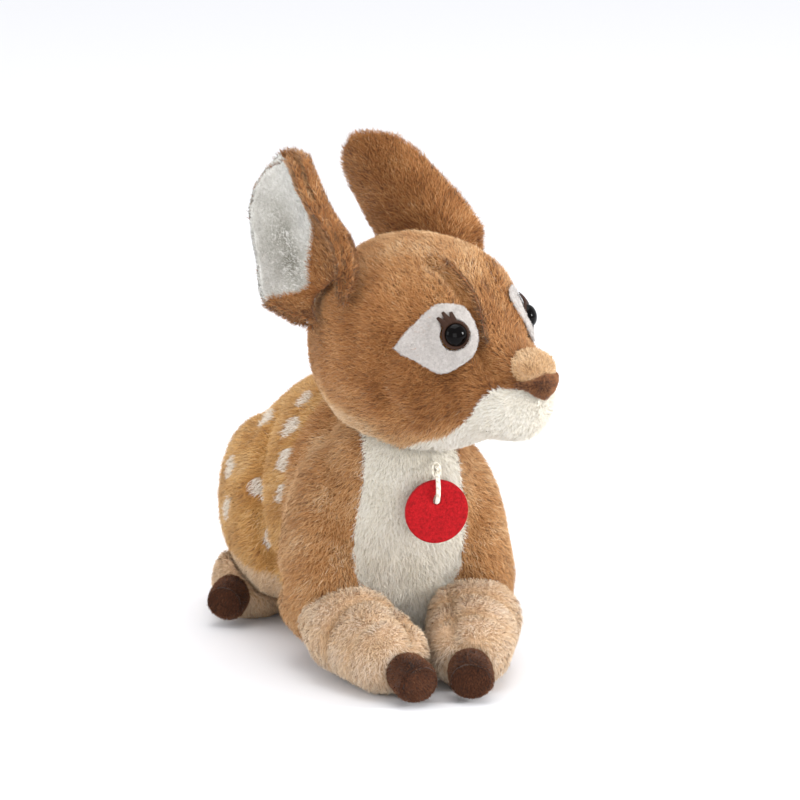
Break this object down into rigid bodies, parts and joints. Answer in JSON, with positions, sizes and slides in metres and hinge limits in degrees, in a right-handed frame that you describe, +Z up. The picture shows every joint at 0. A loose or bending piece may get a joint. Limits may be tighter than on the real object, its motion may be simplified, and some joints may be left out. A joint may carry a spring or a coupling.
{
  "type": "plush deer, lying",
  "caption": "Lying plush deer with its head turned to its left: pile covers over stuffing, felt eye patches, dome eyes, cupped lined ears, dark hooves and a plain round felt tag.",
  "frame": {"origin": "on the floor plane, under the chest, on the cut that the chest rests on", "axes": "+X to the deer's left, -Y the way its body faces, +Z up"},
  "size_m": [0.1564, 0.2666, 0.2612],
  "materials": {
    "brown_plush": "short brushed pile, red-brown with lighter tips",
    "amber_plush": "brushed pile, amber with cream spots",
    "beige_plush": "short brushed pile, beige",
    "cream_plush": "long brushed pile, cream white",
    "hoof_plush": "very short pile, dark brown",
    "ear_lining": "smooth short plush, white",
    "tip_plush": "short pile, light tan",
    "nose_plush": "short velvet, dark brown",
    "eye_felt": "flat felt, off-white",
    "lash_felt": "stiff felt, dark brown",
    "black_eye": "gloss black dome",
    "washer": "white safety washer",
    "stuffing": "white polyester fibre",
    "red_felt": "red felt, plain on both faces",
    "cord": "twisted cream thread"
  },
  "bodies": {
    "torso": {"chest_panel": "cream_plush", "shoulder_cover": "brown_plush", "back_cover": "amber_plush", "body_filling": "stuffing", "upper_arm_r": "brown_plush", "upper_arm_l": "brown_plush", "thigh_r": "amber_plush", "thigh_l": "amber_plush", "hind_leg_r": "beige_plush", "hind_leg_l": "beige_plush", "hind_hoof_r": "hoof_plush", "hind_hoof_l": "hoof_plush", "tag_peg": "cord"},
    "front_leg_r": {"forearm_r": "beige_plush", "front_hoof_r": "hoof_plush"},
    "front_leg_l": {"forearm_l": "beige_plush", "front_hoof_l": "hoof_plush"},
    "tail_body": {"tail": "amber_plush"},
    "head": {"head_cover": "brown_plush", "muzzle_panel": "cream_plush", "head_filling": "stuffing", "bridge_patch": "tip_plush", "nose": "nose_plush", "eye_patch_r": "eye_felt", "eye_patch_l": "eye_felt", "eyelid_r": "lash_felt", "eyelid_l": "lash_felt", "eye_r": "black_eye", "eye_l": "black_eye", "eye_washer_r": "washer", "eye_washer_l": "washer"},
    "ear_body_r": {"ear_r": "brown_plush", "ear_lining_r": "ear_lining"},
    "ear_body_l": {"ear_l": "brown_plush", "ear_lining_l": "ear_lining"},
    "tag_loop": {"tag_thread": "cord"},
    "tag": {"tag_cord": "cord", "tag_disc": "red_felt"}
  },
  "joints": [
    {"name": "head_turn", "type": "hinge", "parent": "torso", "child": "head", "pos_m": [0, -0.014, 0.1], "axis": [0, 0, 1], "range_deg": [-12, 12], "stiffness_Nm_per_rad": 0.15},
    {"name": "ear_fold_r", "type": "hinge", "parent": "head", "child": "ear_body_r", "pos_m": [-0.03265, -0.01953, 0.19978], "axis": [0.8387, 0.5446, 0], "range_deg": [-12, 12], "stiffness_Nm_per_rad": 0.12},
    {"name": "ear_fold_l", "type": "hinge", "parent": "head", "child": "ear_body_l", "pos_m": [0.01591, 0.0107, 0.20041], "axis": [0.8387, 0.5446, 0], "range_deg": [-12, 12], "stiffness_Nm_per_rad": 0.12},
    {"name": "forearm_lift_r", "type": "hinge", "parent": "torso", "child": "front_leg_r", "pos_m": [-0.03606, -0.03289, 0.02757], "axis": [-0.9412, -0.3379, 0], "range_deg": [0, 12], "stiffness_Nm_per_rad": 0.15},
    {"name": "forearm_lift_l", "type": "hinge", "parent": "torso", "child": "front_leg_l", "pos_m": [0.03606, -0.03289, 0.02757], "axis": [-0.9412, 0.3379, 0], "range_deg": [0, 12], "stiffness_Nm_per_rad": 0.15},
    {"name": "tail_flex", "type": "hinge", "parent": "torso", "child": "tail_body", "pos_m": [0, 0.1346, 0.08025], "axis": [1, 0, 0], "range_deg": [-15, 15], "stiffness_Nm_per_rad": 0.02},
    {"name": "tag_loop_swing", "type": "hinge", "parent": "torso", "child": "tag_loop", "pos_m": [0.008, -0.0575, 0.1105], "axis": [0, 1, 0], "range_deg": [-20, 20]},
    {"name": "tag_swing", "type": "hinge", "parent": "tag_loop", "child": "tag", "pos_m": [0.008, -0.0575, 0.1047], "axis": [-1, 0, 0], "range_deg": [-2, 45]}
  ]
}
